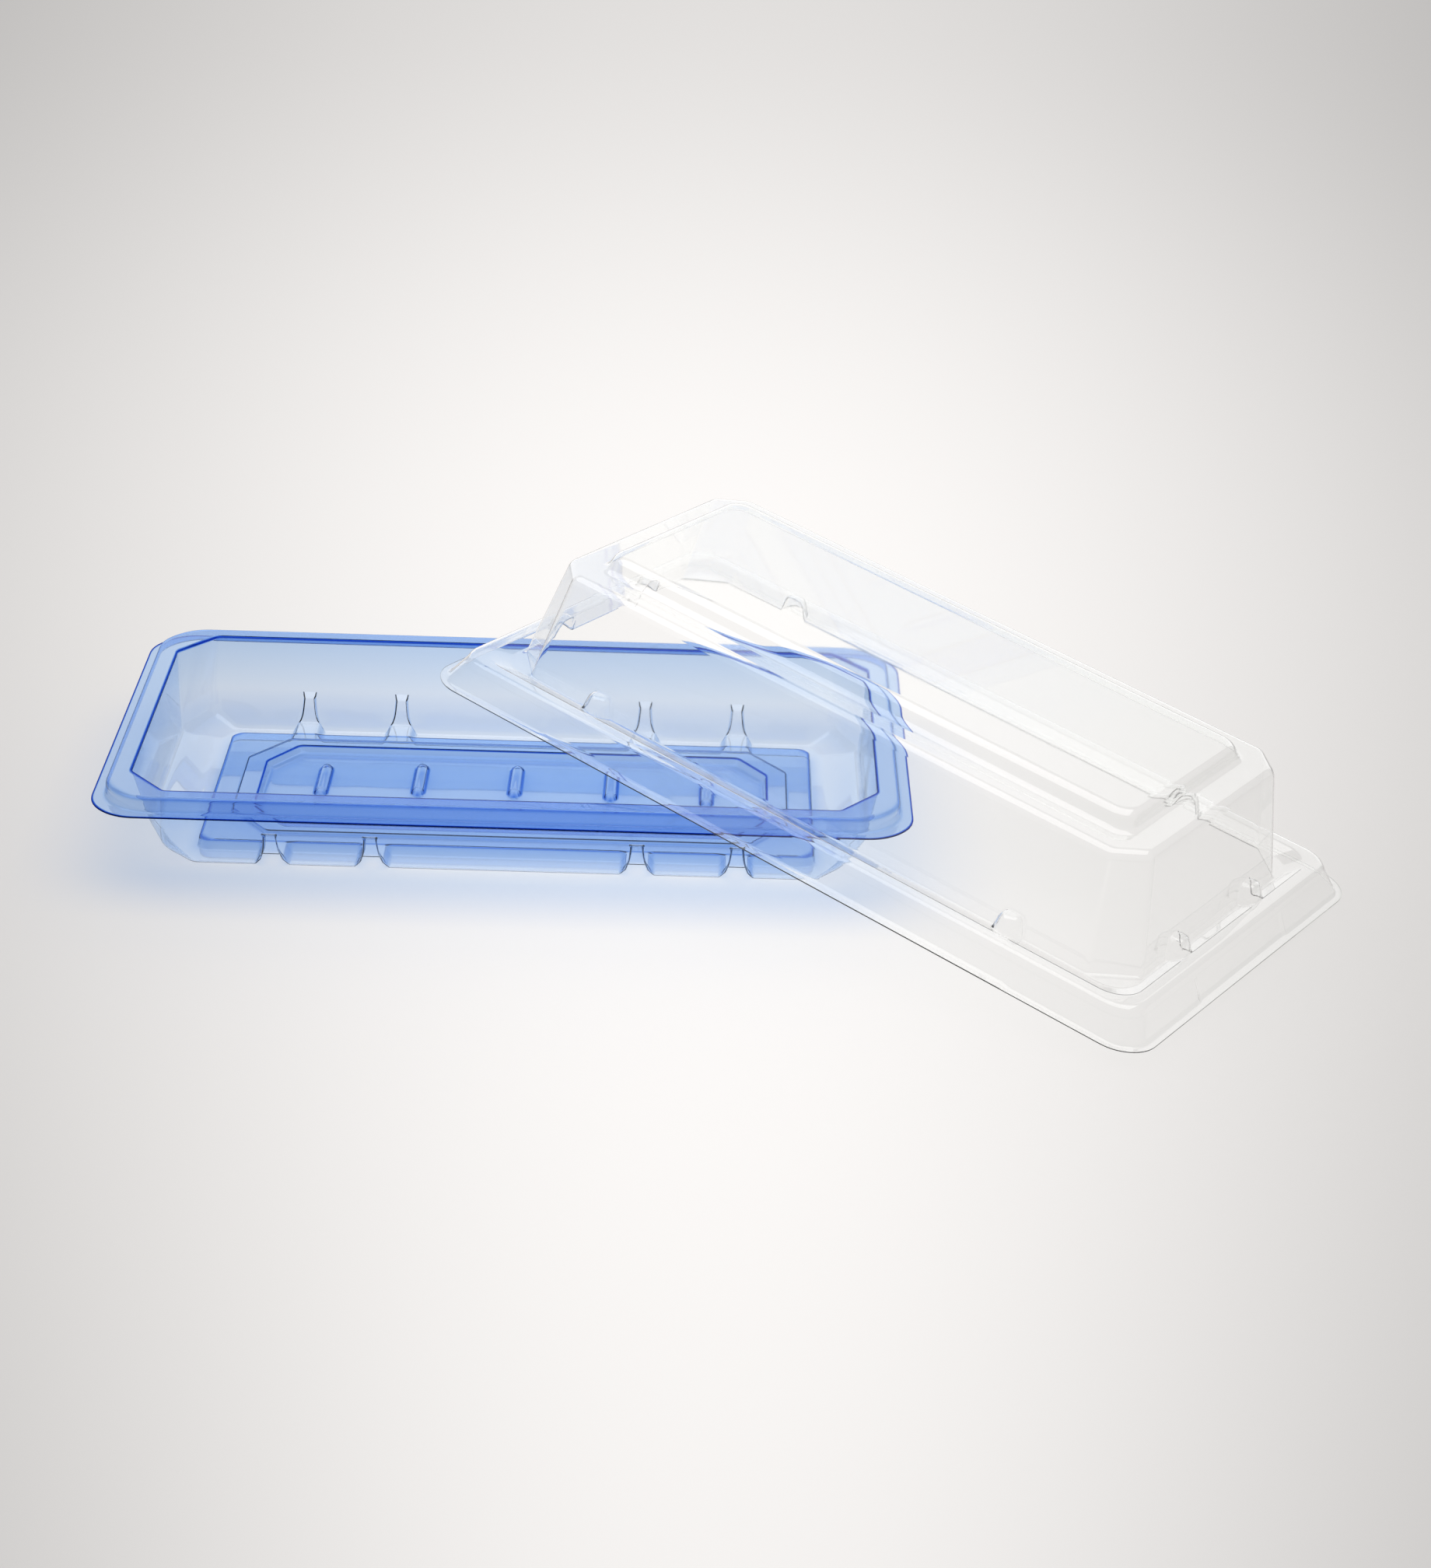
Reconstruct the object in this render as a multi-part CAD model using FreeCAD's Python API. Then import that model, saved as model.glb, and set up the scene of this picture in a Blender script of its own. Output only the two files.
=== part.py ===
"""Sushi takeout tray: a blue tinted vacuum-formed base tray and the clear lid taken off it.

Each piece is one sheet of plastic drawn over a mould, so each is one thin solid.  The space
under a sheet's upper face is built twice, once as it is and once pulled in by the sheet's
thickness, and the sheet is what lies between the two.  Millimetres, +Z up.  Both pieces are
made about the middle of the base tray, and then moved so that the origin is on the table
under the middle of the whole pack.  The lid leans on the tray: its lip lies over the tray's
front rim and back right corner, and one corner of it stands on the table.
"""
import FreeCAD, Part
import math
import os

Vector = FreeCAD.Vector
UP = Vector(0, 0, 1)

# ---- Base tray: heights are above the table.  Its overall size is the half length and half
# width over the lip, and each step inwards from there is the (x, y) width of one band
TRAY_SHEET = 0.4
TRAY_LIP = (110.0, 59.4)
TRAY_LIP_HEIGHT = 22.4
TRAY_FLANGE = (3.6, 3.3)
TRAY_RIM_HEIGHT = 26.4
TRAY_RIM_RADIUS = 13.0
TRAY_SKIRT_DRAFT = 0.8
TRAY_RIM_ROUND = 1.2
TRAY_RIM_WIDTH = (6.0, 5.35)
MOUTH_CHAMFER = (10.5, 11.45)
WALL_LEAN = (2.1, 6.95)
WALL_FOOT_CHAMFER = (6.5, 15.8)
WALL_FOOT_HEIGHT = 5.5
WALL_FOOT_SLOPE = (9.8, 1.8)
MOAT_CHAMFER = (4.0, 6.0)
MOAT_WIDTH = (4.1, 7.9)
FLOOR_RADIUS = 3.0
FLOOR_HEIGHT = 3.4
FLOOR_DRAFT = 0.8
FLOOR_LEDGE = (7.0, 4.8)
PLATEAU_CHAMFER = (10.9, 13.0)
PLATEAU_RISE = 0.9
PLATEAU_LEDGE = (5.8, 4.9)
WELL_CHAMFER = (8.0, 10.5)
WELL_DEPTH = 2.2
WELL_DRAFT = 1.2

# ---- Bars standing in the well, and ribs that stiffen the tray's long walls
BAR_COUNT = 5
BAR_PITCH = 27.3
BAR_RADIUS = 1.9
BAR_HEIGHT = 1.7
BAR_LENGTH = 18.3
BAR_CENTRE_Y = 8.5
BAR_STAGGER = 0.65
RIB_PLACES = (36.0, 63.1)
RIB_FOOT_WIDTH = 6.0
RIB_FOOT_DRAFT = 5.0
RIB_LEG_WIDTH = 5.6
RIB_NECK_WIDTH = 2.6
RIB_CAP_WIDTH = 3.6
RIB_CAP_EDGE = 0.6
RIB_NECK_HEIGHT = 10.2
RIB_HEIGHT = 11.6
RIB_DEPTH = 1.5

# ---- Lid: heights are above the underside of its own lip
LID_SHEET = 0.35
LID_LIP_GAP = (2.9, 0.4)
LID_FLANGE = 2.4
LID_LIP_RADIUS = 10.5
LID_RIM_GAP = (2.4, 0.5)
LID_RIM_HEIGHT = 8.4
LID_RIM_WIDTH = 3.6
LID_DISH_WIDTH = (4.0, 5.7)
LID_CORNER_BULGE = 0.9
LID_BULGE_HEIGHT = 6.0
LID_BULGE_REACH = (38.0, 36.0)
DOME_FOOT_CHAMFER = (10.5, 10.5)
DOME_FOOT_HEIGHT = 6.6
DOME_LEAN = (7.8, 5.7)
DOME_TOP_CHAMFER = (7.5, 8.0)
DOME_HEIGHT = 38.5
PANEL_LEDGE = (8.5, 9.2)
PANEL_LEAN = (1.5, 2.4)
PANEL_RADIUS = 5.0
PANEL_RISE = 4.7
LUG_RADIUS = 4.0
LUG_HEIGHT = 12.3
LUG_LONG_PLACE = 67.0
LUG_END_PLACE = 20.0

# ---- How the lid leans on the tray
LID_TURN = -35.4
CORNER_ALONG_LID = -46.7
CORNER_PLAY = 0.3
SEAT_GAP = 0.05

# ---- Room to cut and join with: the undersides of a whole body and of the blocks joined to
# it, how far a cutting shape runs on, how far one block is sunk into the next, how far the
# pulled-in body's lip runs past the sheet's cut edge, and a length that counts as none
BODY_FOOT = -6.0
BLOCK_FOOT = -3.0
OVERCUT = 5.0
LAP = 1.0
EDGE_LAP = 2.0
HAIR = 0.01


def face(corners, height):
    """A closed outline through flat corner points, as a face at one height."""
    points = [Vector(x, y, height) for x, y in corners]
    return Part.makePolygon(points + points[:1])


def grown(sides, by):
    """Half lengths with the same amount added to each."""
    return (sides[0] + by, sides[1] + by)


def stepped(sides, step, way=-1):
    """Half lengths a step of (x, y) further in, or further out where the way is 1."""
    return (sides[0] + way * step[0], sides[1] + way * step[1])


def rounded_outline(half, radius, height):
    """A rectangle with round corners, as a wire of four lines and four arcs."""
    x, y = half
    k = radius * (1 - math.sqrt(0.5))
    edges = []
    for sx, sy in ((1, 1), (-1, 1), (-1, -1), (1, -1)):
        flat_end = Vector(sx * (x - radius), sy * y, height)
        steep_end = Vector(sx * x, sy * (y - radius), height)
        middle = Vector(sx * (x - k), sy * (y - k), height)
        start, end = (steep_end, flat_end) if sx == sy else (flat_end, steep_end)
        if edges:
            edges.append(Part.LineSegment(edges[-1].Vertexes[-1].Point, start).toShape())
        edges.append(Part.Arc(start, middle, end).toShape())
    closing = Part.LineSegment(edges[-1].Vertexes[-1].Point, edges[0].Vertexes[0].Point)
    return Part.Wire(edges + [closing.toShape()])


def octagon_outline(half, chamfer, height, by=0.0):
    """A rectangle with chamfered corners whose every side is moved outwards by an amount."""
    (x, y), (cx, cy) = half, chamfer
    slant = math.hypot(cx, cy)
    cut_x = cx + by - by * (slant - cx) / cy
    cut_y = cy + by - by * (slant - cy) / cx
    x, y = x + by, y + by
    corner = [(x, y - cut_y), (x - cut_x, y)]
    ring = corner + [(-a, b) for a, b in reversed(corner)]
    ring += [(-a, -b) for a, b in ring]
    return face(ring, height)


def prism(outline, top):
    """A flat outline drawn straight up to a height."""
    rise = top - outline.BoundBox.ZMin
    return Part.Face(outline).extrude(Vector(0, 0, rise))


def loft(outlines):
    """A solid with straight-lined walls from one outline to the next."""
    return Part.makeLoft(outlines, True, True)


def drafted_block(half, radius, low, high, draft):
    """A rounded block whose sides lean in by the draft on their way up."""
    foot = rounded_outline(grown(half, draft), radius + draft, low)
    return loft([foot, rounded_outline(half, radius, high)])


def four_ways(shape):
    """A shape and its mirror images about the two upright middle planes."""
    pair = shape.fuse(shape.mirror(Vector(), Vector(1, 0, 0)))
    return pair.fuse(pair.mirror(Vector(), Vector(0, 1, 0)))


# ---------------------------------------------------------------- base tray

TRAY_RIM = stepped(TRAY_LIP, TRAY_FLANGE)
MOUTH = stepped(TRAY_RIM, TRAY_RIM_WIDTH)
WALL_FOOT = stepped(MOUTH, WALL_LEAN)
MOAT = stepped(WALL_FOOT, WALL_FOOT_SLOPE)
FLOOR = stepped(MOAT, MOAT_WIDTH)
PLATEAU = stepped(FLOOR, FLOOR_LEDGE)
WELL = stepped(PLATEAU, PLATEAU_LEDGE)


def tray_outside(inset):
    """Rim and skirt as a solid block, with the flat lip round its foot."""
    lip_size = TRAY_LIP if inset == 0 else grown(TRAY_LIP, EDGE_LAP)
    lip = prism(rounded_outline(lip_size, TRAY_RIM_RADIUS, BODY_FOOT), TRAY_LIP_HEIGHT - inset)
    rim = grown(TRAY_RIM, -inset)
    block = drafted_block(rim, TRAY_RIM_RADIUS - inset, TRAY_LIP_HEIGHT - OVERCUT,
                          TRAY_RIM_HEIGHT - inset, TRAY_SKIRT_DRAFT)
    top_edges = [e for e in block.Edges if e.BoundBox.ZMin > TRAY_RIM_HEIGHT - inset - HAIR]
    block = block.makeFillet(TRAY_RIM_ROUND - inset, top_edges)
    return lip.fuse(block)


def tray_hollow(inset):
    """The open space between the tray's walls, down to the moat round its floor."""
    run_on = OVERCUT / (TRAY_RIM_HEIGHT - WALL_FOOT_HEIGHT)
    above = stepped(MOUTH, WALL_LEAN, run_on)
    return loft([octagon_outline(above, MOUTH_CHAMFER, TRAY_RIM_HEIGHT + OVERCUT, inset),
                 octagon_outline(MOUTH, MOUTH_CHAMFER, TRAY_RIM_HEIGHT, inset),
                 octagon_outline(WALL_FOOT, WALL_FOOT_CHAMFER, WALL_FOOT_HEIGHT, inset),
                 octagon_outline(MOAT, MOAT_CHAMFER, TRAY_SHEET - inset, inset)])


def tray_floor(inset):
    """The raised floor with its low octagonal plateau, and the well sunk into that."""
    plateau_top = FLOOR_HEIGHT + PLATEAU_RISE
    well_floor = plateau_top - WELL_DEPTH
    floor = drafted_block(grown(FLOOR, -inset), FLOOR_RADIUS - inset, BLOCK_FOOT,
                          FLOOR_HEIGHT - inset, FLOOR_DRAFT)
    plateau = loft([octagon_outline(PLATEAU, PLATEAU_CHAMFER, BLOCK_FOOT, PLATEAU_RISE - inset),
                    octagon_outline(PLATEAU, PLATEAU_CHAMFER, plateau_top - inset, -inset)])
    well = loft([octagon_outline(WELL, WELL_CHAMFER, well_floor - inset, inset - WELL_DRAFT),
                 octagon_outline(WELL, WELL_CHAMFER, plateau_top + inset, inset)])
    raised = floor.fuse(plateau).cut(well)
    for bar in well_bars(inset, well_floor):
        raised = raised.fuse(bar)
    return raised


def well_bars(inset, floor_height):
    """Round bars half sunk in the well's floor, in one bowed row, each with round noses."""
    radius = BAR_RADIUS - inset
    nose = Vector(0, BAR_LENGTH / 2 - BAR_RADIUS, 0)
    bars = []
    for index in range(BAR_COUNT):
        step = index - (BAR_COUNT - 1) / 2
        middle = Vector(step * BAR_PITCH, BAR_CENTRE_Y - BAR_STAGGER * step ** 2,
                        floor_height + BAR_HEIGHT - BAR_RADIUS)
        rod = Part.makeCylinder(radius, 2 * nose.Length, middle - nose, nose)
        bars += [rod.fuse([Part.makeSphere(radius, middle + end) for end in (-nose, nose)])]
    return bars


def wall_rib(place, inset):
    """One rib: a foot across the moat and a buttress that narrows as it climbs the wall."""
    slope = (WALL_FOOT[1] - MOAT[1]) / WALL_FOOT_HEIGHT
    steep = (MOUTH[1] - WALL_FOOT[1]) / (TRAY_RIM_HEIGHT - WALL_FOOT_HEIGHT)

    def wall_at(height):
        if height < WALL_FOOT_HEIGHT:
            return MOAT[1] + slope * height
        return WALL_FOOT[1] + steep * (height - WALL_FOOT_HEIGHT)

    def bar_section(width, front, height):
        half = width / 2 - inset
        back = MOUTH[1] + OVERCUT
        return face([(place - half, front + inset), (place + half, front + inset),
                     (place + half, back), (place - half, back)], height)

    neck = RIB_NECK_HEIGHT
    neck_front = wall_at(neck) - RIB_DEPTH
    foot_front = FLOOR[1] - EDGE_LAP
    foot = loft([bar_section(RIB_FOOT_WIDTH + 2 * RIB_FOOT_DRAFT, foot_front, BLOCK_FOOT),
                 bar_section(RIB_FOOT_WIDTH, foot_front, FLOOR_HEIGHT - inset)])
    leg = loft([bar_section(RIB_LEG_WIDTH, wall_at(FLOOR_HEIGHT) - RIB_DEPTH,
                            FLOOR_HEIGHT - inset - LAP),
                bar_section(RIB_NECK_WIDTH, neck_front, neck)])
    cap = loft([bar_section(RIB_CAP_WIDTH, neck_front, neck - RIB_CAP_EDGE),
                bar_section(RIB_CAP_WIDTH, neck_front, neck - inset),
                bar_section(RIB_CAP_WIDTH, wall_at(RIB_HEIGHT), RIB_HEIGHT - inset)])
    return foot.fuse(leg).fuse(cap)


def tray_body(inset):
    """All that lies under the tray's upper face, pulled in by an inset."""
    hollow = tray_hollow(inset).cut(tray_floor(inset))
    for place in RIB_PLACES:
        hollow = hollow.cut(four_ways(wall_rib(place, inset)))
    return tray_outside(inset).cut(hollow)


def base_tray():
    """The tray's sheet."""
    return tray_body(0.0).cut(tray_body(TRAY_SHEET)).removeSplitter().Solids[0]


# ---------------------------------------------------------------- lid

LID_SKIRT = stepped(TRAY_LIP, LID_LIP_GAP, 1)
LID_LIP = grown(LID_SKIRT, LID_FLANGE)
LID_RIM = stepped(TRAY_RIM, LID_RIM_GAP, 1)
DOME_FOOT = stepped(grown(LID_RIM, -LID_RIM_WIDTH), LID_DISH_WIDTH)
DOME_TOP = stepped(DOME_FOOT, DOME_LEAN)
PANEL_FOOT = stepped(DOME_TOP, PANEL_LEDGE)
PANEL = stepped(PANEL_FOOT, PANEL_LEAN)


def lid_outside(inset):
    """Lip, skirt and rim as a solid block, with the skirt standing out round each corner."""
    lip_size = LID_LIP if inset == 0 else grown(LID_LIP, EDGE_LAP)
    lip = prism(rounded_outline(lip_size, LID_LIP_RADIUS, BODY_FOOT), LID_SHEET - inset)
    radius = LID_LIP_RADIUS - LID_FLANGE - inset
    foot = LID_SHEET - inset - LAP
    skirt = loft([rounded_outline(grown(LID_SKIRT, -inset), radius, foot),
                  rounded_outline(grown(LID_RIM, -inset), radius, LID_RIM_HEIGHT - inset)])
    low = grown(LID_SKIRT, LID_CORNER_BULGE - inset)
    high = grown(LID_RIM, LID_CORNER_BULGE - inset)
    bulge = loft([rounded_outline(low, radius, foot),
                  rounded_outline(high, radius, LID_BULGE_HEIGHT - inset)])
    reach_x = LID_SKIRT[0] - LID_BULGE_REACH[0] + inset
    reach_y = LID_SKIRT[1] - LID_BULGE_REACH[1] + inset
    corner = Part.makeBox(LID_LIP[0], LID_LIP[1], LID_RIM_HEIGHT + OVERCUT,
                          Vector(reach_x, reach_y, BLOCK_FOOT))
    return lip.fuse(skirt).fuse(bulge.common(four_ways(corner)))


def lid_rim_dish(inset):
    """The space above the shallow slope from the lid's rim down to the foot of its dome."""
    ridge = grown(LID_RIM, inset - LID_RIM_WIDTH)
    radius = LID_LIP_RADIUS - LID_FLANGE
    lean = (LID_RIM_HEIGHT - DOME_FOOT_HEIGHT) / 2
    return loft([rounded_outline(grown(DOME_FOOT, inset), radius, DOME_FOOT_HEIGHT - inset),
                 rounded_outline(ridge, radius, LID_RIM_HEIGHT),
                 rounded_outline(grown(ridge, lean), radius, LID_RIM_HEIGHT + OVERCUT)])


def lid_dome(inset):
    """The eight-sided dome with the raised panel on its top."""
    low = DOME_FOOT_HEIGHT - inset - LAP
    dome = loft([octagon_outline(DOME_FOOT, DOME_FOOT_CHAMFER, low, -inset),
                 octagon_outline(DOME_TOP, DOME_TOP_CHAMFER, DOME_HEIGHT - inset, -inset)])
    panel = loft([rounded_outline(grown(PANEL_FOOT, -inset), PANEL_RADIUS,
                                  DOME_HEIGHT - inset - HAIR),
                  rounded_outline(grown(PANEL, -inset), PANEL_RADIUS,
                                  DOME_HEIGHT + PANEL_RISE - inset)])
    return dome.fuse(panel)


def lid_lugs(inset):
    """Round lugs at the foot of the dome, two on each side of it."""
    places = [(LUG_LONG_PLACE, DOME_FOOT[1]), (DOME_FOOT[0], LUG_END_PLACE)]
    lugs = [Part.makeCylinder(LUG_RADIUS - inset, LUG_HEIGHT - inset - BLOCK_FOOT,
                              Vector(x, y, BLOCK_FOOT)) for x, y in places]
    return four_ways(lugs[0].fuse(lugs[1]))


def lid_body(inset):
    """All that lies under the lid's upper face, pulled in by an inset."""
    rim = lid_outside(inset).cut(lid_rim_dish(inset))
    return rim.fuse(lid_dome(inset)).fuse(lid_lugs(inset))


def lean_on_tray(shape):
    """Turn the lid over the tray, then tip it about the line through its two rests."""
    turn = math.radians(LID_TURN)
    along = Vector(math.cos(turn), math.sin(turn), 0)
    across = UP.cross(along)
    corner = Vector(TRAY_RIM[0] - TRAY_RIM_RADIUS, TRAY_RIM[1] - TRAY_RIM_RADIUS, 0)
    back_rest = corner + across * TRAY_RIM_RADIUS
    centre = back_rest - along * CORNER_ALONG_LID - across * (LID_SKIRT[1] - CORNER_PLAY)
    skirt_line = centre - across * LID_SKIRT[1]
    front_rest = skirt_line + along * ((-TRAY_RIM[1] - skirt_line.y) / along.y)

    seat = Vector(0, 0, TRAY_RIM_HEIGHT + SEAT_GAP)
    axis = (back_rest - front_rest).normalize()
    low_end = centre + along * (LID_LIP[0] - LID_LIP_RADIUS) - front_rest
    to_side = across * (LID_LIP[1] - LID_LIP_RADIUS)
    downhill = axis.cross(UP)
    reach = max((low_end + to_side).dot(downhill), (low_end - to_side).dot(downhill))
    reach += LID_LIP_RADIUS
    lean = math.degrees(math.asin(seat.z / reach))

    shape.rotate(Vector(), UP, LID_TURN)
    shape.translate(centre + seat)
    shape.rotate(front_rest + seat, axis, lean)
    return shape


def lid():
    """The lid's sheet, leaning on the tray."""
    return lean_on_tray(lid_body(0.0).cut(lid_body(LID_SHEET)).removeSplitter().Solids[0])


def about_middle(pieces):
    """Move the pieces together, so that the middle of their plan is the origin."""
    middle = Part.makeCompound(list(pieces.values())).optimalBoundingBox(True, False).Center
    print("middle of the base tray: %.3f, %.3f" % (-middle.x, -middle.y))
    for shape in pieces.values():
        shape.translate(Vector(-middle.x, -middle.y, 0))


def export(name, shape):
    """Write one piece's solid and say how it came out."""
    print(name, "solids", len(shape.Solids), "valid", shape.isValid(),
          "volume %.0f mm3" % shape.Volume)
    shape.exportStep("parts/%s.step" % name)


os.makedirs("parts", exist_ok=True)
pack = {"base_tray": base_tray(), "lid": lid()}
about_middle(pack)
for name, shape in pack.items():
    export(name, shape)
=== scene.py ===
"""Sushi takeout tray: a blue tinted base tray with its clear lid taken off and leaning on it.

Each piece is one thin sheet of plastic drawn over a mould.  A sheet is built as rings that
step inwards from its cut edge to its flat middle, so it is a grid with one parameter round
the piece and the other across it.  Sizes are in millimetres until a mesh is made.
"""

import bpy
import numpy as np
from mathutils import Matrix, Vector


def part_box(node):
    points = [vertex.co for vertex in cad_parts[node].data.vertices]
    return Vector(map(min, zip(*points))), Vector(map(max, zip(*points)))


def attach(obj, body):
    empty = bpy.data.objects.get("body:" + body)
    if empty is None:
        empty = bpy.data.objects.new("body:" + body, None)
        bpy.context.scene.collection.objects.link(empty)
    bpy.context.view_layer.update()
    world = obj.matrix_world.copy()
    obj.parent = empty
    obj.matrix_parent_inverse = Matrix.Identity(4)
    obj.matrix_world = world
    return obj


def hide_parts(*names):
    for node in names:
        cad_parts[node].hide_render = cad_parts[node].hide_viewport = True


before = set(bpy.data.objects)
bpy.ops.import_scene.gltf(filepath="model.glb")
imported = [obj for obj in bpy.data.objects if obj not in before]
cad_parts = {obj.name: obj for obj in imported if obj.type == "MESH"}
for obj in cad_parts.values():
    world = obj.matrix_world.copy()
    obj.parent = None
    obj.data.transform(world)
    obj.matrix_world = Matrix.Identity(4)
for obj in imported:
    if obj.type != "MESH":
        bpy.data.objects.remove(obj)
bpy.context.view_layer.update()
MM = 0.001


# ------------------------------------------------------------ table, light and camera
# The pack stands on a pale matt table that runs on behind it.  A wide softbox hangs over the table
# and a white card stands far behind it, in an even white room.  The table's colour holds painted
# shade that darkens it smoothly to the sides, in place of the light falling off there as on a lit
# sweep of paper.
ROOM_COLOUR, ROOM_STRENGTH = (1.0, 0.993, 0.99, 1.0), 0.575
TABLE_WHITE = (0.865, 0.848, 0.834, 1.0)
TABLE_REACH = 3.0
# Painted shade on the table: how fast it darkens to the sides, and how deep.
PAINTED_SHADE_FALL, PAINTED_SHADE_DEPTH = 8.5, 0.5
STAND_BACK, NEAREST = 0.9, 0.55
CAMERA_PLACE = (-8.664, -781.379, 405.632)
CAMERA_TURN, CAMERA_DIP, CAMERA_ROLL = 0.008, 0.46, -0.033
CAMERA_LENS, CAMERA_FILM = 72.72, 36.0
CAMERA_NEAR, CAMERA_FAR = 0.01, 20.0
PASSES, PASSES_IN_SHADE = 32, 48

world = bpy.data.worlds.new("room")
bpy.context.scene.world = world
world.use_nodes = True
world.node_tree.nodes["Background"].inputs["Color"].default_value = ROOM_COLOUR
world.node_tree.nodes["Background"].inputs["Strength"].default_value = ROOM_STRENGTH

bpy.ops.mesh.primitive_plane_add(size=2 * TABLE_REACH)
table = bpy.context.object
table.name = "table"
paint = bpy.data.materials.new("table_white_with_painted_shade")
paint.use_nodes = True
paint_nodes, paint_links = paint.node_tree.nodes, paint.node_tree.links
shader = paint_nodes["Principled BSDF"]
shader.inputs["Roughness"].default_value = 0.9
shader.inputs["Specular IOR Level"].default_value = 0.0


def sum_node(kind, first, second):
    """A math node on two values, each a number or another node's output."""
    node = paint_nodes.new("ShaderNodeMath")
    node.operation = kind
    for socket, value in zip(node.inputs, (first, second)):
        if isinstance(value, float):
            socket.default_value = value
        else:
            paint_links.new(value, socket)
    return node.outputs["Value"]


# Painted shade on the table, darker to the sides: a spot's distance aside is divided by its
# distance from a line in front of the pack, squared, and times the shade's fall.  With that as f
# and the shade's depth as d, the white kept is 1 - d + d exp(-f / d).
place = paint_nodes.new("ShaderNodeTexCoord")
parts = paint_nodes.new("ShaderNodeSeparateXYZ")
paint_links.new(place.outputs["Object"], parts.inputs["Vector"])
reach = sum_node("MAXIMUM", sum_node("ADD", parts.outputs["Y"], STAND_BACK), NEAREST)
aside = sum_node("DIVIDE", parts.outputs["X"], reach)
fall = sum_node("MULTIPLY", sum_node("MULTIPLY", aside, aside), PAINTED_SHADE_FALL)
kept = sum_node("POWER", float(np.exp(-1 / PAINTED_SHADE_DEPTH)), fall)
painted_shade_keep = sum_node("ADD", sum_node("MULTIPLY", kept, PAINTED_SHADE_DEPTH), 1.0 - PAINTED_SHADE_DEPTH)
# Painted shade: the table's white, darkened towards the sides by the factor above.
painted_shade_mix = paint_nodes.new("ShaderNodeMix")
painted_shade_mix.data_type = "RGBA"
paint_links.new(painted_shade_keep, painted_shade_mix.inputs["Factor"])
painted_shade_mix.inputs["A"].default_value = (0.0, 0.0, 0.0, 1.0)
painted_shade_mix.inputs["B"].default_value = TABLE_WHITE
paint_links.new(painted_shade_mix.outputs["Result"], shader.inputs["Base Color"])
table.data.materials.append(paint)


def softbox(name, place, dip, width, depth, radiance):
    """A flat lamp that faces the front of the table, dipped from level, so that a quarter turn
    is straight down.  Its power is pi times its area times its radiance."""
    lamp = bpy.data.lights.new(name, "AREA")
    lamp.shape = "RECTANGLE"
    lamp.size, lamp.size_y = width, depth
    lamp.energy = np.pi * width * depth * radiance
    holder = bpy.data.objects.new(name, lamp)
    holder.location = place
    holder.rotation_euler = (dip - np.pi / 2, 0.0, 0.0)
    bpy.context.scene.collection.objects.link(holder)


softbox("softbox", (-0.1, 0.04, 0.8), dip=np.pi / 2, width=1.5, depth=0.85, radiance=1.46)
softbox("back_card", (0.0, 1.8, 0.85), dip=0.0, width=3.2, depth=1.5, radiance=0.66)


def facing(turn, dip, roll):
    """A camera's turn as a matrix: turned about up, dipped below level, then rolled."""
    right = np.array([np.cos(turn), -np.sin(turn), 0.0])
    ahead = np.array([np.sin(turn) * np.cos(dip), np.cos(turn) * np.cos(dip), -np.sin(dip)])
    down = np.cross(ahead, right)
    across = np.cos(roll) * right + np.sin(roll) * down
    below = np.cos(roll) * down - np.sin(roll) * right
    return Matrix(np.column_stack([across, -below, -ahead]).tolist())


lens = bpy.data.cameras.new("camera")
lens.lens = CAMERA_LENS
lens.sensor_width = CAMERA_FILM
lens.clip_start, lens.clip_end = CAMERA_NEAR, CAMERA_FAR
camera = bpy.data.objects.new("camera", lens)
camera.rotation_mode = "QUATERNION"
camera.rotation_quaternion = facing(CAMERA_TURN, CAMERA_DIP, CAMERA_ROLL).to_quaternion()
camera.location = [MM * c for c in CAMERA_PLACE]
bpy.context.scene.collection.objects.link(camera)
bpy.context.scene.camera = camera
bpy.context.scene.view_settings.view_transform = "Standard"
bpy.context.scene.cycles.max_bounces = PASSES
bpy.context.scene.cycles.transmission_bounces = PASSES
bpy.context.scene.cycles.transparent_max_bounces = PASSES_IN_SHADE


# ------------------------------------------------------------ base tray
# The base is one 0.4 mm sheet of clear PET dyed blue, vacuum-formed over a mould: a flat lip,
# an upright rim, sloping walls with ribs, and a floor raised inside a moat that it stands on.
TRAY_SHEET = 0.4
BAR_PITCH, BAR_RADIUS, BAR_HEIGHT, BAR_LENGTH = 27.3, 1.9, 1.7, 18.3
# The bars' extra tint along their foot, and how widely it spreads, are painted shade.
BAR_CENTRE_Y, BAR_STAGGER, BAR_FOOT, BAR_PAINTED_SHADE = 8.5, 0.65, 0.14, 3.0
BAR_DROP, BAR_PAINTED_SHADE_SPREAD, BARS_A_SIDE = 4, 0.25, 2
RIB_PLACES = (36.0, 63.1)
# The rib's extra tint down its sides is painted shade.
RIB_TOP, RIB_SIDE, RIB_REACH, RIB_PAINTED_SHADE = 4.4, 6.2, 8.0, 0.8
TRAY_EVEN, TRAY_CORNER, TRAY_EDGE_ROUND = 9.0, 21, 0.06
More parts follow.
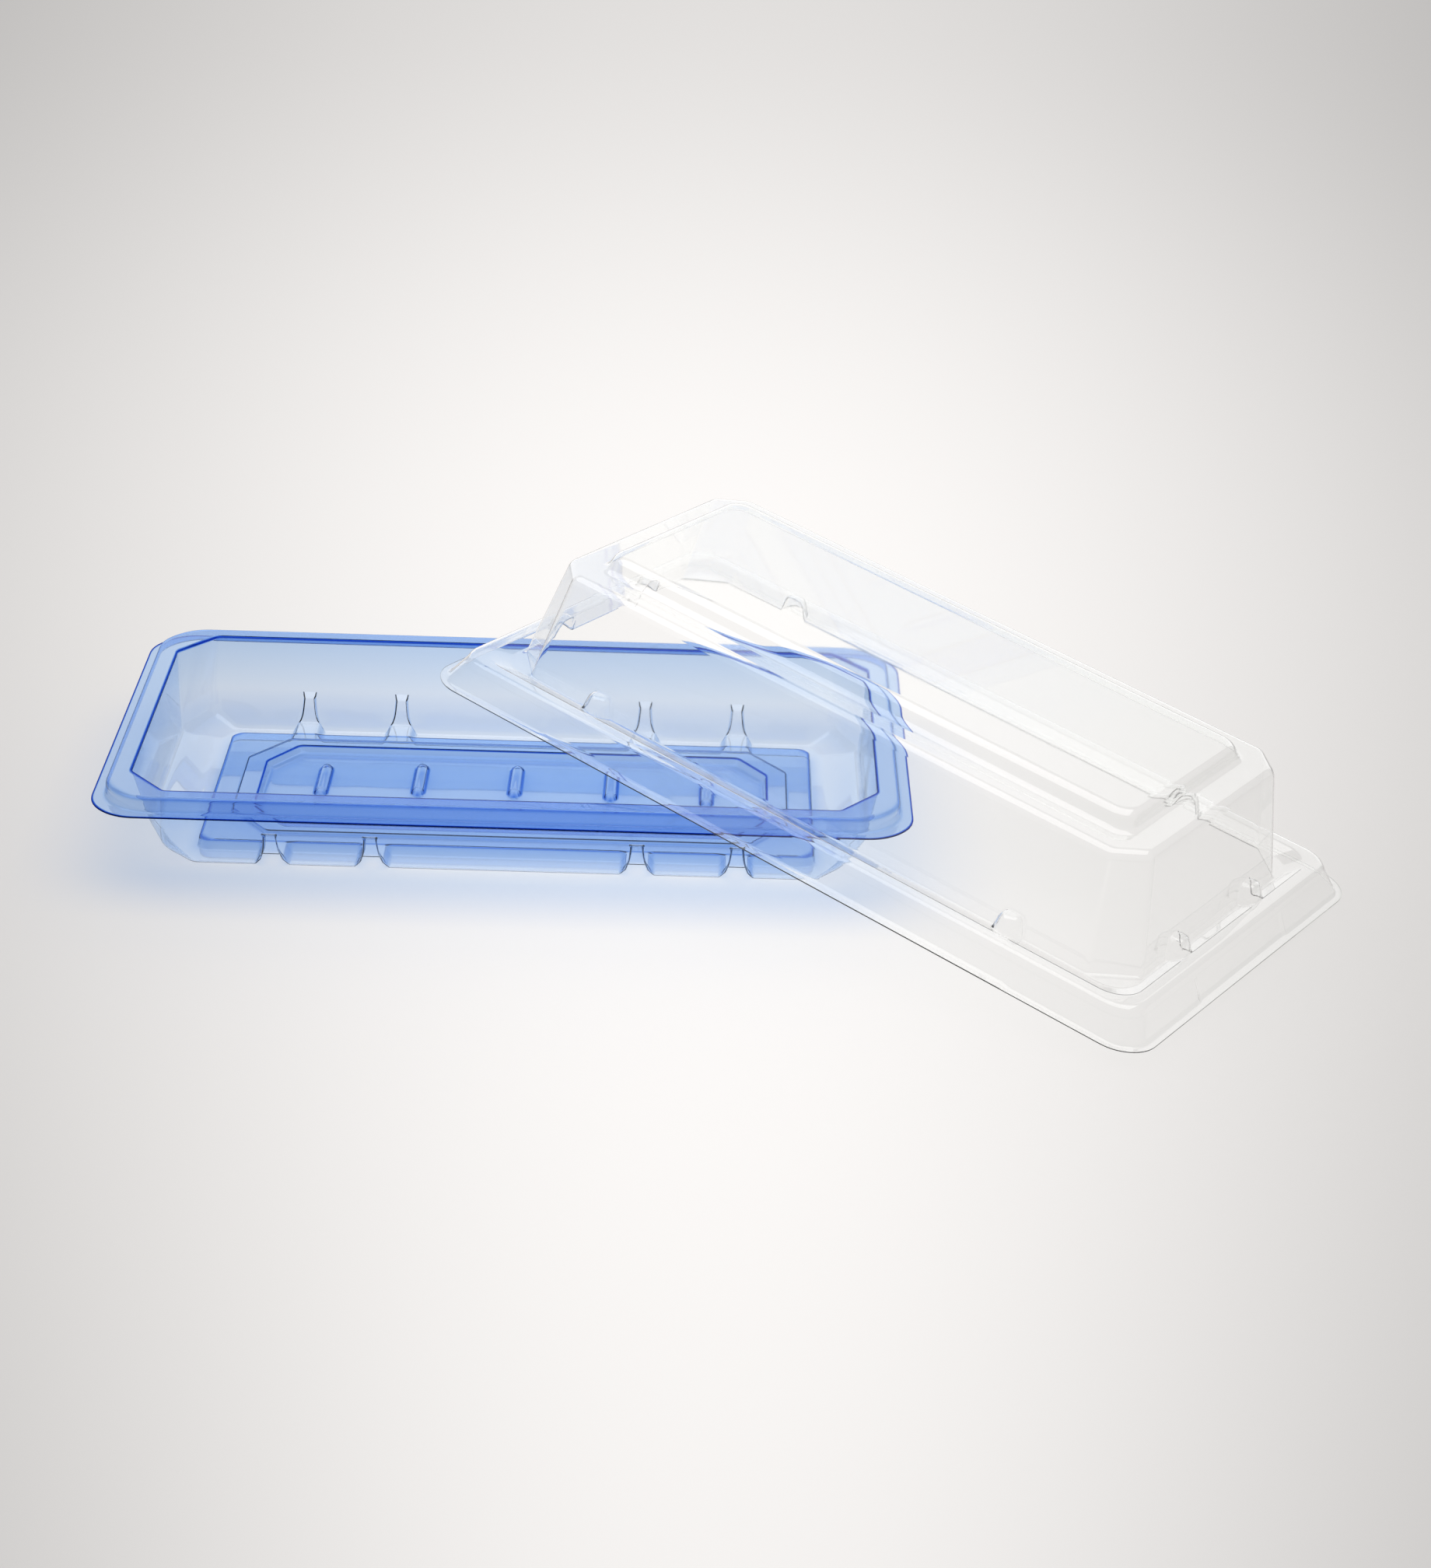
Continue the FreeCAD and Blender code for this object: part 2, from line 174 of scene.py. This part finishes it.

# One row for each bend, from the lip inwards: half length, half width, the corner's chamfer along
# and across, its rounding, the height, the half length of the side on which features stay put, the
# bend's length along the sheet, half a rib's width at its front and foot, the tint's power there,
# and the extra tint at the bend's middle.  The tint's power is partly the dye that the drawn sheet
# still holds and partly painted light and shade: high on the cut edge it paints a dark line, low on
# the moat and pads it paints them lighter, and the extra paints dark lines where light runs along a
# bend, most at the mouth and the well's edge.
TRAY_BENDS = np.array([
    [109.94, 59.34, 7.62, 7.62, 13.0, 22.4, 75.0, 0.0, 4.4, 6.2, 13.0, 0.0],
    [109.45, 58.85, 7.62, 7.62, 13.0, 22.4, 75.0, 0.0, 4.4, 6.2, 1.1, 0.0],
    [106.76, 56.46, 7.82, 7.82, 13.36, 22.4, 75.0, 0.9, 4.4, 6.2, 1.1, 0.5],
    [106.40, 56.10, 7.62, 7.62, 13.0, 26.4, 75.0, 1.2, 4.4, 6.2, 1.15, 1.2],
    [100.40, 50.75, 10.5, 11.45, 2.6, 26.4, 75.0, 0.7, 4.4, 6.2, 1.15, 9.0],
    [98.91, 45.83, 7.67, 14.53, 4.0, 11.6, 75.0, 0.3, 1.9, 2.4, 0.5, 0.0],
    [98.77, 45.36, 7.40, 14.82, 4.0, 10.2, 75.0, 0.4, 1.5, 1.9, 0.5, 0.0],
    [98.30, 43.80, 6.50, 15.80, 4.0, 5.5, 75.0, 2.2, 1.9, 2.3, 0.4, 0.0],
    [91.96, 42.64, 4.88, 9.46, 3.4, 2.2, 75.0, 0.0, 2.4, 3.4, 0.3, 0.0],
    [88.50, 42.00, 4.00, 6.00, 3.0, 0.4, 75.0, 0.9, 2.8, 5.0, 0.25, 0.0],
    [84.78, 34.48, 1.98, 1.98, 3.4, 0.4, 75.0, 0.7, 2.8, 5.0, 0.4, 0.0],
    [84.40, 34.10, 1.76, 1.76, 3.0, 3.4, 75.0, 0.7, 2.8, 5.0, 0.95, 3.0],
    [77.51, 29.41, 10.9, 13.0, 2.5, 3.4, 57.3, 0.4, 4.4, 6.2, 1.0, 0.8],
    [77.40, 29.30, 10.9, 13.0, 2.5, 4.3, 57.3, 0.4, 4.4, 6.2, 1.05, 2.5],
    [71.60, 24.40, 8.0, 10.5, 3.0, 4.3, 57.3, 0.5, 4.4, 6.2, 1.05, 8.0],
    [70.40, 23.20, 8.0, 10.2, 3.0, 2.1, 57.3, 1.3, 4.4, 6.2, 1.05, 0.5],
    [67.00, 20.00, 7.5, 8.9, 3.0, 2.1, 57.3, 0.0, 4.4, 6.2, 1.05, 0.0]])

# The same bends where the sheet runs over a rib: half width and height differ on five of them.
RIB_BENDS = TRAY_BENDS.copy()
RIB_BENDS[6:11, [1, 5]] = [(43.86, 10.2), (42.47, 6.0), (41.95, 4.4), (41.61, 3.4), (34.60, 3.4)]
OUTER_EVEN, WELL_EVEN = TRAY_BENDS[0, 6], TRAY_BENDS[-1, 6]
STRAIGHT_SHARE = 0.45


def bent_rows(bends, steps):
    """Rows across a sheet.  A bend becomes a parabola that leaves the straight parts on its two
    sides at the bend's length from the corner, or at a set share of a part that is shorter.
    The extra tint at a bend is painted shade along it, times the third power of 4 t (1 - t), so it
    peaks at the bend's middle."""
    run = np.hypot(*np.diff(bends[:, [1, 5]], axis=0).T)
    t = np.linspace(0, 1, steps)[:, None]
    rows = [bends[:1]]
    for k, bend in enumerate(bends[1:-1], 1):
        start = bend + (bends[k - 1] - bend) * min(bend[7] / run[k - 1], STRAIGHT_SHARE)
        end = bend + (bends[k + 1] - bend) * min(bend[7] / run[k], STRAIGHT_SHARE)
        curve = (1 - t) ** 2 * start + 2 * t * (1 - t) * bend + t ** 2 * end
        # Painted shade: more tint at the bend's middle draws a dark line along it, and a lighter
        # one where the extra is negative.
        curve[:, -2:-1] += (4 * t * (1 - t)) ** 3 * bend[-1]
        rows.append(curve if bend[7] else bend[None])
    return np.concatenate(rows + [bends[-1:]])


def along_side(spots, even, reach):
    """Distance from a side's middle: a spot times the even half length up to 1, and from there
    to 2 the spot less 1, times what is left to the corner's start."""
    return np.where(spots <= 1, spots * even, even + (spots - 1) * (reach - even))


def quarter_rings(rows, short_even, short_spots, corner_steps, long_spots):
    """A quarter of every ring, from the middle of the short side to that of the long side, with
    each point's place and tint power, which is dye and painted shade.  The corner is a chamfer with
    a parabola at each end, and its points go by thirds: a parabola, or as much of it as is a third
    of the corner, then the middle, then the other end."""
    half_x, half_y, cut_x, cut_y, rounding = rows[:, :5].T[:, :, None]
    slant = np.hypot(cut_x, cut_y)
    most = 0.4999 * slant  # each parabola takes less than half of the chamfer
    first = np.minimum(rounding * cut_x / (slant + cut_y), most)
    last = np.minimum(rounding * cut_y / (slant + cut_x), most)
    way_x, way_y = -cut_x / slant, cut_y / slant
    low, high = (half_x, half_y - cut_y), (half_x - cut_x, half_y)
    leave = [low[0], low[1] - first]
    join = [low[0] + way_x * first, low[1] + way_y * first]
    part = [high[0] - way_x * last, high[1] - way_y * last]
    arrive = [high[0] - last, high[1]]

    def length(a, b, tangent):
        """A parabola's length, near enough: a third of twice its chord and its two tangents."""
        return (2 * np.hypot(a[0] - b[0], a[1] - b[1]) + 2 * tangent) / 3

    arc_1, arc_2 = length(leave, join, first), length(part, arrive, last)
    flat = slant - first - last
    total = arc_1 + flat + arc_2
    knee_1, knee_2 = np.minimum(arc_1, total / 3), total - np.minimum(arc_2, total / 3)
    c = 3 * np.linspace(0, 1, corner_steps + 1)[None, :]
    gone = np.where(c < 1, knee_1 * c, np.where(
        c < 2, knee_1 + (knee_2 - knee_1) * (c - 1), knee_2 + (total - knee_2) * (c - 2)))
    t = np.clip(gone / arc_1, 0, 1)
    u = np.clip((gone - arc_1 - flat) / arc_2, 0, 1)
    on = np.clip(gone - arc_1, 0, flat)
    corner = []
    for axis, way in ((0, way_x), (1, way_y)):
        into = (1 - t) ** 2 * leave[axis] + 2 * t * (1 - t) * low[axis] + t ** 2 * join[axis]
        out = (1 - u) ** 2 * part[axis] + 2 * u * (1 - u) * high[axis] + u ** 2 * arrive[axis]
        corner.append(np.where(gone < arc_1, into,
                               np.where(gone < arc_1 + flat, join[axis] + way * on, out)))
    short = along_side(short_spots[None, :], short_even, leave[1])
    long = along_side(long_spots[None, ::-1], rows[:, 6:7], arrive[0])
    x = np.concatenate([half_x + 0 * short, corner[0], long], axis=1)
    y = np.concatenate([short, corner[1], half_y + 0 * long], axis=1)
    return np.stack([x, y, rows[:, 5:6] + 0 * x, rows[:, -2:-1] + 0 * x], axis=2)


def whole_rings(quarter):
    """All round from a quarter: it and its three mirror images, without their shared points."""
    flip = np.array([-1.0, 1.0, 1.0, 1.0])
    top = np.concatenate([quarter, (quarter * flip)[:, -2::-1]], axis=1)
    turned = top * np.array([-1.0, -1.0, 1.0, 1.0])
    return np.concatenate([top[:, :-1], turned[:, :-1]], axis=1)


def middle_patch(rows, ring, short_count, long_spots):
    """The flat middle as a grid that fills the last ring.  A row is a level line between two
    points of the short ends, and its points divide it as the long sides are divided."""
    edge = np.concatenate([ring[-short_count:], ring[:short_count + 1]])
    spots = np.concatenate([[2.0], long_spots[::-1]])
    right = along_side(spots[None, :], rows[-1, 6], edge[:, :1])
    x = np.concatenate([-right, right[:, -2::-1]], axis=1)
    return np.stack([x, edge[:, 1:2] + 0 * x, rows[-1, 5] + 0 * x, rows[-1, -2] + 0 * x], axis=2)


def sheet_faces(row_count, ring_count, patch_shape):
    """Corner numbers of the sheet's faces: quads between neighbouring rings, then the patch,
    whose edge uses the last ring's points."""
    grid = np.arange(row_count * ring_count).reshape(row_count, ring_count)
    beside = np.roll(grid, -1, axis=1)
    rings = np.stack([grid[:-1], beside[:-1], beside[1:], grid[1:]], axis=2).reshape(-1, 4)
    high, wide = patch_shape
    patch = np.zeros(patch_shape, int)
    inner = (high - 2) * (wide - 2)
    patch[1:-1, 1:-1] = grid.size + np.arange(inner).reshape(high - 2, wide - 2)
    last, side = grid[-1], high // 2
    patch[:, -1] = last[np.arange(-side, side + 1)]
    patch[-1, ::-1] = last[side + np.arange(wide)]
    patch[::-1, 0] = last[side + wide - 1 + np.arange(high)]
    patch[0, :] = last[(side + wide + high - 2 + np.arange(wide)) % ring_count]
    squares = np.stack([patch[:-1, :-1], patch[:-1, 1:], patch[1:, 1:], patch[1:, :-1]], axis=2)
    return np.concatenate([rings, squares.reshape(-1, 4)])


def face_normals(points, faces):
    """Area-weighted normals: each face adds half the cross product of its diagonals to its
    corners, so that large flat faces keep their neighbours' edges flat."""
    a, b, c, d = points[faces].transpose(1, 0, 2)
    normal = np.cross(c - a, d - b) / 2
    total = np.zeros_like(points)
    for corner in faces.T:
        np.add.at(total, corner, normal)
    return total / np.linalg.norm(total, axis=1)[:, None]


def sheet_mesh(name, points, faces, dye_and_painted_shade, ring_count, thickness, edge_round):
    """A closed sheet: the upper skin, the same skin moved down its normals by the thickness,
    and a rounded strip round the cut edge of the first ring."""
    normal = face_normals(points, faces)
    under = points - thickness * normal
    count, edge = len(points), np.arange(ring_count)
    outward = points[:ring_count] - points[ring_count:2 * ring_count]
    outward /= np.linalg.norm(outward, axis=1)[:, None]
    middle = (points[:ring_count] + under[:ring_count]) / 2 + edge_round * outward
    rim, after = 2 * count + edge, np.roll(edge, -1)
    strips = [np.stack([edge, rim, 2 * count + after, after], axis=1),
              np.stack([rim, count + edge, count + after, 2 * count + after], axis=1)]
    everything = np.concatenate([points, under, middle]) * MM
    corners = np.concatenate([faces, count + faces[:, ::-1]] + strips)
    mesh = bpy.data.meshes.new(name)
    mesh.from_pydata(everything.tolist(), [], corners.tolist())
    mesh.polygons.foreach_set("use_smooth", np.ones(len(corners), bool))
    mesh.normals_split_custom_set_from_vertices(np.concatenate([normal, -normal, outward]).tolist())
    # The tint's power: the sheet's dye, with painted shade along bends, edges, ribs and bars, and
    # painted lightening on the lid's top bends.
    held = mesh.attributes.new("dye_and_painted_shade", "FLOAT", "POINT")
    held.data.foreach_set("value", np.concatenate([dye_and_painted_shade, dye_and_painted_shade, dye_and_painted_shade[:ring_count]]))
    piece = bpy.data.objects.new(name, mesh)
    bpy.context.scene.collection.objects.link(piece)
    return piece


def spots_of(places, even, beyond):
    """Sorted spots for features at places along a side, without ones that nearly coincide:
    each place over the even half length, then 1, then the spots beyond it."""
    spots = np.unique(np.round(np.concatenate([np.asarray(p).ravel() for p in places]), 3)) / even
    spots = spots[(spots >= 0) & (spots < 1)]
    return np.concatenate([spots, [1.0], beyond])


def rib_shift(spots, rows):
    """How far each long-side point moves along x so that points keep to a rib's sides: inside
    the rib's top, on its side, and from there out to its reach, each part stretches evenly."""
    x = spots[None, :] * OUTER_EVEN
    top, foot = rows[:, 8:9], rows[:, 9:10]
    shift = 0 * (x + top)
    for place in RIB_PLACES:
        off = np.abs(x - place)
        kept = np.where(off < RIB_TOP, off / RIB_TOP * top, np.where(
            off < RIB_SIDE, top + (off - RIB_TOP) / (RIB_SIDE - RIB_TOP) * (foot - top),
            foot + (off - RIB_SIDE) / (RIB_REACH - RIB_SIDE) * (RIB_REACH - foot)))
        shift += np.where(off < RIB_REACH, np.sign(x - place) * (kept - off), 0)
    return shift


def rib_share(spots):
    """1 on top of a rib and 0 clear of it, with a smooth step down its sides."""
    off = np.min([np.abs(spots * OUTER_EVEN - place) for place in RIB_PLACES], axis=0)
    step = np.clip((RIB_SIDE - off) / (RIB_SIDE - RIB_TOP), 0, 1)
    return step ** 2 * (3 - 2 * step)


def bars(x, y):
    """Height of the bars over the well's floor, and the painted shade along their foot, as extra
    tint.  A bar is a round rod with round noses, sunk by what its radius is over its height, and
    joined to the floor by a small smooth curve.  The painted shade falls off from the foot like a
    bell."""
    step = np.clip(np.round(x / BAR_PITCH), -BARS_A_SIDE, BARS_A_SIDE)
    across = x - step * BAR_PITCH
    along = np.abs(y - BAR_CENTRE_Y + BAR_STAGGER * step ** 2) - (BAR_LENGTH / 2 - BAR_RADIUS)
    out = np.hypot(across, np.maximum(along, 0))
    rod = np.sqrt(np.maximum(BAR_RADIUS ** 2 - out ** 2, 0)) + BAR_HEIGHT - BAR_RADIUS
    rod -= BAR_DROP * np.maximum(out - BAR_RADIUS, 0)
    height = (rod + np.sqrt(rod ** 2 + BAR_FOOT ** 2)) / 2 * (out < 2 * BAR_RADIUS)
    # Painted shade at the bar's foot.
    dye_and_painted_shade = BAR_PAINTED_SHADE * np.exp(-((out - BAR_RADIUS) / BAR_PAINTED_SHADE_SPREAD) ** 2)
    return np.stack([height, dye_and_painted_shade], axis=2)


# Lines of the grid stand at these distances from the middle of each bar and each rib.
bar_sides = np.array([0.0, 0.8, 1.4, 1.75, 1.95, 2.4])
rib_sides = np.array([0.0, 2.2, 3.8, 4.4, 4.75, 5.1, 5.5, 5.9, 6.2, 8.0])
bar_spots = [step * BAR_PITCH + way * bar_sides
             for step in range(BARS_A_SIDE + 1) for way in (-1, 1)]
rib_spots = [(place + way * rib_sides) * WELL_EVEN / OUTER_EVEN
             for place in RIB_PLACES for way in (-1, 1)]
tray_long = spots_of(bar_spots + rib_spots + [[8.0, 16.0]], WELL_EVEN, beyond=[1.3, 1.65])
tray_short = spots_of([np.arange(0, 4.5, 0.7), [6.0]], TRAY_EVEN, beyond=[1.25, 1.5, 1.75])

plain_rows, rib_rows = bent_rows(TRAY_BENDS, steps=6), bent_rows(RIB_BENDS, steps=6)
quarter = quarter_rings(plain_rows, TRAY_EVEN, tray_short, TRAY_CORNER, tray_long)
over_rib = quarter_rings(rib_rows, TRAY_EVEN, tray_short, TRAY_CORNER, tray_long)
on_long = slice(-len(tray_long), None)
share = rib_share(tray_long[::-1])[None, :, None]
rise = (over_rib - quarter)[:, on_long]
# Painted shade: dark lines down the sides of each rib, as more tint where the sheet turns over it.
rib_side_painted_shade = RIB_PAINTED_SHADE * 4 * share[..., 0] * (1 - share[..., 0])
quarter[:, on_long, 1:] += share * rise[..., 1:]
quarter[:, on_long, 3] += rib_side_painted_shade * np.minimum(np.hypot(rise[..., 1], rise[..., 2]), 1)
quarter[:, on_long, 0] += rib_shift(tray_long[::-1], plain_rows)
rings = whole_rings(quarter)
patch = middle_patch(plain_rows, rings[-1], len(tray_short) + TRAY_CORNER, tray_long)
patch[..., 2:] += bars(patch[..., 0], patch[..., 1])
tray_faces = sheet_faces(rings.shape[0], rings.shape[1], patch.shape[:2])
tray_points = np.concatenate([rings.reshape(-1, 4), patch[1:-1, 1:-1].reshape(-1, 4)])
tray_dye_and_painted_shade = tray_points[:, 3]
tray_low, tray_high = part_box("base_tray")
tray_middle = np.array([tray_low[0] + tray_high[0], tray_low[1] + tray_high[1], 0]) / 2 / MM
base_tray = sheet_mesh("blue_base_tray", tray_points[:, :3] + tray_middle, tray_faces,
                       tray_dye_and_painted_shade, rings.shape[1], TRAY_SHEET, TRAY_EDGE_ROUND)


PET_IOR, SHEET_ROUGHNESS = 1.5, 0.03


def clear_sheet(name, tint):
    """See-through plastic that bends and mirrors light, and tints it at each surface by the tint to
    the power held on the sheet, which is partly its dye and partly painted shade and light along
    its bends, edges, ribs and bars.  Its gloss is a little uneven and its faces wave slightly.
    Light from lamps and from lit surfaces goes straight through with the same tint."""
    material = bpy.data.materials.new(name)
    material.use_nodes = True
    nodes, links = material.node_tree.nodes, material.node_tree.links
    nodes.clear()
    out = nodes.new("ShaderNodeOutputMaterial")
    glass = nodes.new("ShaderNodeBsdfGlass")
    glass.inputs["IOR"].default_value = PET_IOR
    clear = nodes.new("ShaderNodeBsdfTransparent")
    held = nodes.new("ShaderNodeAttribute")
    # The tint's power on the sheet: dye, with painted shade and light.
    held.attribute_name = "dye_and_painted_shade"
    colour = nodes.new("ShaderNodeGamma")
    colour.inputs["Color"].default_value = (*tint, 1.0)
    links.new(held.outputs["Fac"], colour.inputs["Gamma"])
    links.new(colour.outputs["Color"], glass.inputs["Color"])
    links.new(colour.outputs["Color"], clear.inputs["Color"])
    place = nodes.new("ShaderNodeTexCoord")
    grain = nodes.new("ShaderNodeTexNoise")
    grain.inputs["Scale"].default_value = 90.0
    grain.inputs["Detail"].default_value = 3.0
    gloss = nodes.new("ShaderNodeMapRange")
    gloss.inputs["To Min"].default_value = 0.4 * SHEET_ROUGHNESS
    gloss.inputs["To Max"].default_value = 1.6 * SHEET_ROUGHNESS
    wave = nodes.new("ShaderNodeTexNoise")
    wave.inputs["Scale"].default_value = 45.0
    wave.inputs["Detail"].default_value = 1.0
    bump = nodes.new("ShaderNodeBump")
    bump.inputs["Strength"].default_value = 0.3
    bump.inputs["Distance"].default_value = 0.0002
    for texture in (grain, wave):
        links.new(place.outputs["Object"], texture.inputs["Vector"])
    links.new(grain.outputs["Fac"], gloss.inputs["Value"])
    links.new(gloss.outputs["Result"], glass.inputs["Roughness"])
    links.new(wave.outputs["Fac"], bump.inputs["Height"])
    links.new(bump.outputs["Normal"], glass.inputs["Normal"])
    ray = nodes.new("ShaderNodeLightPath")
    shader = glass.outputs["BSDF"]
    for kind in ("Is Diffuse Ray", "Is Shadow Ray"):
        mix = nodes.new("ShaderNodeMixShader")
        links.new(ray.outputs[kind], mix.inputs["Fac"])
        links.new(shader, mix.inputs[1])
        links.new(clear.outputs["BSDF"], mix.inputs[2])
        shader = mix.outputs["Shader"]
    links.new(shader, out.inputs["Surface"])
    return material


blue_sheet = clear_sheet("blue_tinted_sheet", (0.745, 0.838, 0.963))
base_tray.data.materials.append(blue_sheet)
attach(base_tray, "root")
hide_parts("base_tray")


# ------------------------------------------------------------ lid
# The lid is one 0.35 mm sheet of clear PET, vacuum-formed into a dome with a raised panel, a
# rim with a skirt round it, corners that stand out for the thumb, and eight small lugs.
LID_SHEET = 0.35
LUG_EDGE, LUG_HEIGHT, LUG_FOOT, LUG_NEAR = 3.0, 12.3, 0.05, 1.5
LUG_PLACES = ((67.0, 47.3), (101.2, 20.0))
BULGE_ENDS, BULGE_STEP = (74.9, 23.8), 3.2
LID_EVEN, LID_CORNER, LID_EDGE_ROUND = 24.6, 21, 0.05

# Bends from the lip inwards, as for the tray without its ribs.  Here too the tint's power holds
# painted light and shade: high on the cut edge it paints a dark line, positive extras paint dark
# lines at the skirt and the dome's foot, and the negative extra along the dome's top and the
# panel's edges paints them lighter, as painted highlight.
LID_BENDS = np.array([
    [115.25, 62.15, 6.15, 6.15, 10.5, 0.35, 78.0, 0.0, 2.5, 0.0],
    [114.80, 61.70, 6.15, 6.15, 10.5, 0.35, 78.0, 0.0, 0.45, 0.0],
    [112.45, 59.45, 4.75, 4.75, 8.1, 0.35, 78.0, 1.2, 0.45, 0.8],
    [109.89, 57.45, 4.75, 4.75, 8.1, 6.0, 78.0, 0.5, 0.45, 0.5],
    [108.80, 56.60, 4.75, 4.75, 8.1, 8.4, 78.0, 1.4, 0.45, 0.2],
    [105.20, 53.00, 4.75, 4.75, 8.1, 8.4, 78.0, 1.6, 0.45, 0.0],
    [101.70, 47.80, 4.75, 4.75, 8.1, 6.6, 78.0, 0.3, 0.45, 0.0],
    [100.96, 47.13, 10.4, 10.4, 3.0, 6.6, 78.0, 0.5, 0.45, 0.4],
    [93.40, 41.60, 7.5, 8.0, 3.0, 38.5, 78.0, 2.6, 0.6, -0.4],
    [84.90, 32.40, 2.93, 2.93, 5.0, 38.5, 76.0, 1.8, 1.2, -0.9],
    [83.40, 30.00, 2.93, 2.93, 5.0, 43.2, 74.0, 2.2, 1.2, -0.9],
    [77.40, 24.00, 2.2, 2.2, 3.6, 43.2, 70.0, 0.0, 1.4, 0.0]])
# Round the corners the foot of the skirt stands further out, and there its row differs.
BULGED_BENDS = LID_BENDS.copy()
BULGED_BENDS[2, :2] = (113.18, 60.22)


def between(bends, k, shares):
    """Bend rows with straight ones put in after row k, at shares of the way to the next."""
    extra = bends[k] + (bends[k + 1] - bends[k]) * np.array(shares)[:, None]
    extra[:, 7] = 0
    return np.concatenate([bends[:k + 1], extra, bends[k + 1:]])


def lug_height(x, y):
    """Height of a lug's surface: its top less the 5th power of the distance from its middle
    over its edge, so that it is nearly flat, then turns over and drops."""
    out = np.min([np.hypot(np.abs(x) - a, np.abs(y) - b) for a, b in LUG_PLACES], axis=0)
    return LUG_HEIGHT - np.minimum(out / LUG_EDGE, 2) ** 5


# Lines of the grid stand at these distances from the middle of each lug and each bulge's end.
lug_sides = np.array([0.0, 0.9, 1.7, 2.3, 2.8, 3.2, 3.5, 3.75, 3.95, 4.15, 4.5])
lug_long = [LUG_PLACES[0][0] + way * lug_sides for way in (-1, 1)]
lug_short = [LUG_PLACES[1][1] + way * lug_sides for way in (-1, 1)]
step_out = np.array([-1.6, -1.0, -0.5, 0.0, 0.5, 1.0, 1.6])
lid_long = spots_of(lug_long + [[0, 15, 30, 45, 56], BULGE_ENDS[0] + step_out],
                    LID_BENDS[0, 6], beyond=[1.3, 1.65])
lid_short = spots_of(lug_short + [[0, 7, 12], BULGE_ENDS[1] + step_out],
                     LID_EVEN, beyond=[1.3, 1.65])


def lid_rows(bends):
    """The lid's rows, with straight ones where the lugs stand on the rim's slope and the dome."""
    rows = between(bends, 7, [0.04, 0.08, 0.12, 0.15, 0.17, 0.185, 0.2])
    return bent_rows(between(rows, 5, np.linspace(0.2, 0.95, 13)), steps=10)


rows = lid_rows(LID_BENDS)
even = np.minimum(LID_EVEN, rows[:, 1:2] - 8)  # stays 8 mm short of a narrow row's corner
quarter = quarter_rings(rows, even, lid_short, LID_CORNER, lid_long)
bulged = quarter_rings(lid_rows(BULGED_BENDS), even, lid_short, LID_CORNER, lid_long)

# The bulge sets in past its end on either outer side, in a smooth step 3.2 mm long.
on_long_side, on_short_side = quarter[..., 1] > 50, quarter[..., 0] > 95
past = np.maximum(np.where(on_long_side, quarter[..., 0] - BULGE_ENDS[0], -1),
                  np.where(on_short_side, quarter[..., 1] - BULGE_ENDS[1], -1))
past = np.clip(past / BULGE_STEP + 0.5, 0, 1)
quarter += (past ** 2 * (3 - 2 * past))[..., None] * (bulged - quarter)

# The sheet is lifted to a lug where the lug is higher, with a small smooth curve at its foot.
over = lug_height(quarter[..., 0], quarter[..., 1]) - quarter[..., 2]
quarter[..., 2] += (over + np.sqrt(over ** 2 + LUG_FOOT)) / 2 * (over > -LUG_NEAR)
rings = whole_rings(quarter)
patch = middle_patch(rows, rings[-1], len(lid_short) + LID_CORNER, lid_long)
lid_faces = sheet_faces(rings.shape[0], rings.shape[1], patch.shape[:2])
lid_points = np.concatenate([rings.reshape(-1, 4), patch[1:-1, 1:-1].reshape(-1, 4)])
lid_dye_and_painted_shade = lid_points[:, 3]

# The lid leans: its front skirt crosses the tray's front rim, its back skirt lies on the back
# right corner of the rim, and the corner of its lip that is lowest touches the table.
TURN, CORNER_ALONG, CORNER_PLAY, SEAT_GAP = np.radians(-35.4), -46.7, 0.3, 0.05
LID_SKIRT_Y, LID_REACH, LID_RADIUS = 59.8, np.array([115.3, 62.2]), 10.5
RIM, RIM_RADIUS, RIM_HEIGHT = np.array([106.4, 56.1]), 13.0, 26.4


def turn_about(axis, angle):
    """Rotation matrix about a unit axis: the axis part is kept, the rest turns by the angle."""
    x, y, z = axis
    cross = np.array([[0, -z, y], [z, 0, -x], [-y, x, 0]])
    return np.eye(3) + np.sin(angle) * cross + (1 - np.cos(angle)) * cross @ cross


along = np.array([np.cos(TURN), np.sin(TURN)])
across = np.array([-along[1], along[0]])
back_rest = RIM - RIM_RADIUS + across * RIM_RADIUS
lid_centre = back_rest - along * CORNER_ALONG - across * (LID_SKIRT_Y - CORNER_PLAY)
skirt_line = lid_centre - across * LID_SKIRT_Y
front_rest = skirt_line + along * ((-RIM[1] - skirt_line[1]) / along[1])
axis = (back_rest - front_rest) / np.linalg.norm(back_rest - front_rest)
downhill = np.array([axis[1], -axis[0]])
seat = RIM_HEIGHT + SEAT_GAP
low_end = lid_centre + along * (LID_REACH[0] - LID_RADIUS) - front_rest
to_side = across * (LID_REACH[1] - LID_RADIUS)
reach = max((low_end + to_side) @ downhill, (low_end - to_side) @ downhill) + LID_RADIUS
tip = turn_about([axis[0], axis[1], 0.0], np.arcsin(seat / reach))
flat_turn = turn_about([0.0, 0.0, 1.0], TURN)
pivot = np.array([*front_rest, seat])
lid_points = lid_points[:, :3] @ flat_turn.T + np.array([*lid_centre, seat]) - pivot
lid_points = lid_points @ tip.T + pivot + tray_middle
clear_lid = sheet_mesh("clear_lid", lid_points, lid_faces, lid_dye_and_painted_shade, rings.shape[1],
                       LID_SHEET, LID_EDGE_ROUND)
clear_lid.data.materials.append(clear_sheet("clear_sheet", (0.985, 0.987, 0.985)))
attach(clear_lid, "root")
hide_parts("lid")

bpy.context.view_layer.update()
